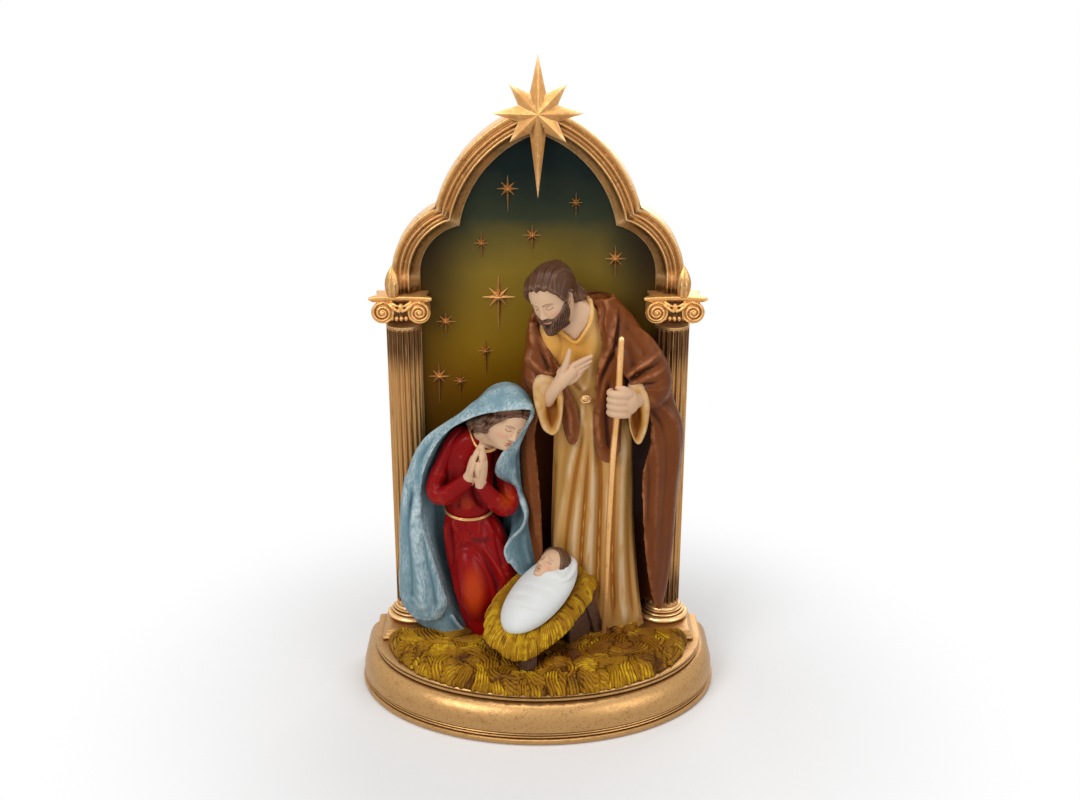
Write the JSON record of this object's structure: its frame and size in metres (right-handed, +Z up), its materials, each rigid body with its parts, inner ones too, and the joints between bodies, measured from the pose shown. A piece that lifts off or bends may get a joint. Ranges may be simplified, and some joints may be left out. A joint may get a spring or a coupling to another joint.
{
  "type": "holy family statue",
  "caption": "Free-standing nativity statue: kneeling and standing figures and a swaddled child in a crib under a columned arch with a starry back, on a D-shaped plinth.",
  "frame": {"origin": "centre of the bounding box's bottom face: middle of the width and depth, on the underside of the felt", "axes": "+Z up, +X to the viewer's right, -Y out of the front that the figures face"},
  "size_m": [0.19, 0.0898, 0.3302],
  "materials": {
    "gold": "cast resin with antique gold leaf, worn to dark brown",
    "sky": "cast resin, airbrushed from dark teal to olive and brown",
    "straw": "cast resin, golden yellow straw over a brown wash",
    "wood": "cast resin, dark brown",
    "mantle": "cast resin, blue dry-brushed with white",
    "gown": "cast resin, semi-gloss red with maroon shadows",
    "cloak": "cast resin, satin red-brown",
    "tunic": "cast resin, pearly ochre",
    "swaddle": "cast resin, matt white",
    "skin": "cast resin, flesh tone",
    "hair": "cast resin, dark brown",
    "felt": "felt"
  },
  "bodies": {
    "root": {"felt_pad": "felt", "base_plinth": "gold", "rear_step": "gold", "column_base_left": "gold", "column_base_right": "gold", "column_shaft_left": "gold", "column_shaft_right": "gold", "capital_left": "gold", "capital_right": "gold", "bud_finial_left": "gold", "bud_finial_right": "gold", "arch_frame": "gold", "crown_star": "gold", "sky_panel": "sky", "sky_star_01": "gold", "sky_star_02": "gold", "sky_star_03": "gold", "sky_star_04": "gold", "sky_star_05": "gold", "sky_star_06": "gold", "sky_star_07": "gold", "sky_star_08": "gold", "sky_star_09": "gold", "sky_star_10": "gold", "mary_head": "skin", "mary_hands": "skin", "mary_hair": "hair", "mary_gown": "gown", "mary_sleeve_left": "gown", "mary_sleeve_right": "gown", "mary_belt": "gold", "mary_collar": "gold", "mary_mantle": "mantle", "joseph_head": "skin", "joseph_hair": "hair", "joseph_beard": "hair", "joseph_hand_left": "skin", "joseph_hand_right": "skin", "joseph_tunic": "tunic", "joseph_sleeve_left": "tunic", "joseph_sleeve_right": "tunic", "joseph_cloak": "cloak", "joseph_clasp": "gold", "staff": "gold", "manger_trough": "wood", "manger_trestle_foot": "wood", "manger_trestle_head": "wood", "manger_straw": "straw", "straw_bed": "straw", "baby_swaddle": "swaddle", "baby_head": "skin", "baby_hair": "hair"}
  },
  "joints": []
}
